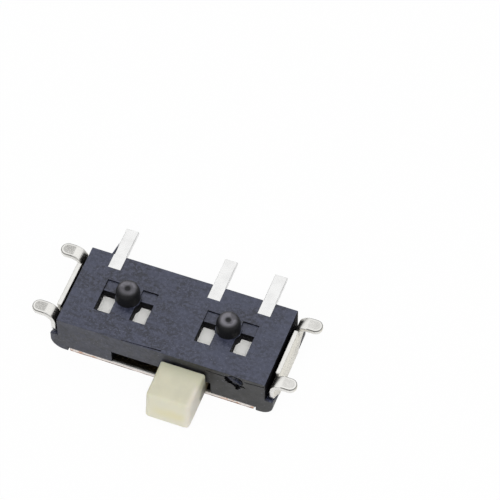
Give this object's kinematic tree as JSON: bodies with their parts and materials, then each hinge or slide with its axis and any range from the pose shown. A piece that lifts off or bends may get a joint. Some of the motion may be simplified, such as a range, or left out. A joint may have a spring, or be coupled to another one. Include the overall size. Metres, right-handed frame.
{
  "type": "slide switch",
  "caption": "Miniature surface-mount slide switch: black moulded housing in a folded metal cover with solder feet, cream knob on the side, flat terminals and locating pegs.",
  "frame": {"origin": "middle of the cover's outer face, on which the switch lies", "axes": "+X along the slide towards the two close terminals, +Y from the knob to the terminals, +Z out of the board side, along the locating pegs"},
  "size_m": [0.0078, 0.005, 0.0019],
  "materials": {
    "housing_plastic": "dark blue-grey moulded plastic with faint flow marks",
    "cover_metal": "bright plated sheet with a fine rolled grain, bare copper on two sheared edges",
    "terminal_metal": "satin silver plating",
    "slider_plastic": "cream moulded plastic, slightly translucent",
    "contact_metal": "thin bright spring strip"
  },
  "bodies": {
    "case": {"housing": "housing_plastic", "cover": "cover_metal", "terminal_left": "terminal_metal", "terminal_common": "terminal_metal", "terminal_right": "terminal_metal"},
    "slide": {"slider": "slider_plastic", "moving_contact": "contact_metal"}
  },
  "joints": [
    {"name": "knob_slide", "type": "slide", "parent": "case", "child": "slide", "axis": [-1, 0, 0], "range_m": [0, 0.0014]}
  ]
}
